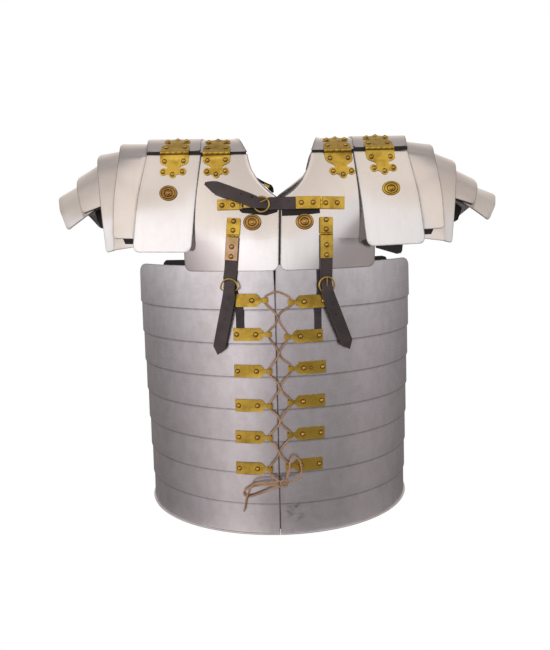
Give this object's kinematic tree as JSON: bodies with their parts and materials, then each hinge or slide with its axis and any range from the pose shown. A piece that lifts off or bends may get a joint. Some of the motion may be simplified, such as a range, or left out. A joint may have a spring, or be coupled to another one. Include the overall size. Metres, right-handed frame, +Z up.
{
  "type": "banded plate armour",
  "caption": "Soldier's banded steel plate armour for trunk and shoulders, with hooped girdle, hinged collar, shoulder guards, brass fittings, buckled straps and laced front.",
  "frame": {"origin": "midway between the shoulders, level with the tops of the collar plates, where the wearer's shoulders carry the armour", "axes": "+Z up, -Y the front with the laces, +X towards the viewer's right, which is the wearer's left"},
  "size_m": [0.665, 0.3501, 0.5582],
  "materials": {
    "steel": "brushed sheet steel, satin",
    "brass": "polished brass sheet and wire with darker edges",
    "leather": "dark brown strap leather, matt",
    "thong": "tan leather thong, matt"
  },
  "bodies": {
    "root": {"back_strap": "leather", "backplate_left": "steel", "backplate_right": "steel", "breastplate_left": "steel", "breastplate_right": "steel", "chest_buckle": "brass", "chest_strap": "leather", "collar_hinge_left": "brass", "collar_hinge_right": "brass", "girdle_buckle_left": "brass", "girdle_buckle_right": "brass", "girdle_left_1": "steel", "girdle_left_2": "steel", "girdle_left_3": "steel", "girdle_left_4": "steel", "girdle_left_5": "steel", "girdle_left_6": "steel", "girdle_left_7": "steel", "girdle_left_8": "steel", "girdle_right_1": "steel", "girdle_right_2": "steel", "girdle_right_3": "steel", "girdle_right_4": "steel", "girdle_right_5": "steel", "girdle_right_6": "steel", "girdle_right_7": "steel", "girdle_right_8": "steel", "girdle_strap_left": "leather", "girdle_strap_right": "leather", "guard_back_left": "steel", "guard_back_right": "steel", "guard_front_left": "steel", "guard_front_right": "steel", "guard_hinge_left": "brass", "guard_hinge_right": "brass", "guard_top_left": "steel", "guard_top_right": "steel", "lace": "thong", "lame_left_2": "steel", "lame_left_3": "steel", "lame_left_4": "steel", "lame_left_5": "steel", "lame_right_2": "steel", "lame_right_3": "steel", "lame_right_4": "steel", "lame_right_5": "steel", "mid_collar_left": "steel", "mid_collar_right": "steel", "tie_left_1": "brass", "tie_left_2": "brass", "tie_left_3": "brass", "tie_left_4": "brass", "tie_left_5": "brass", "tie_left_6": "brass", "tie_right_1": "brass", "tie_right_2": "brass", "tie_right_3": "brass", "tie_right_4": "brass", "tie_right_5": "brass", "tie_right_6": "brass"}
  },
  "joints": []
}
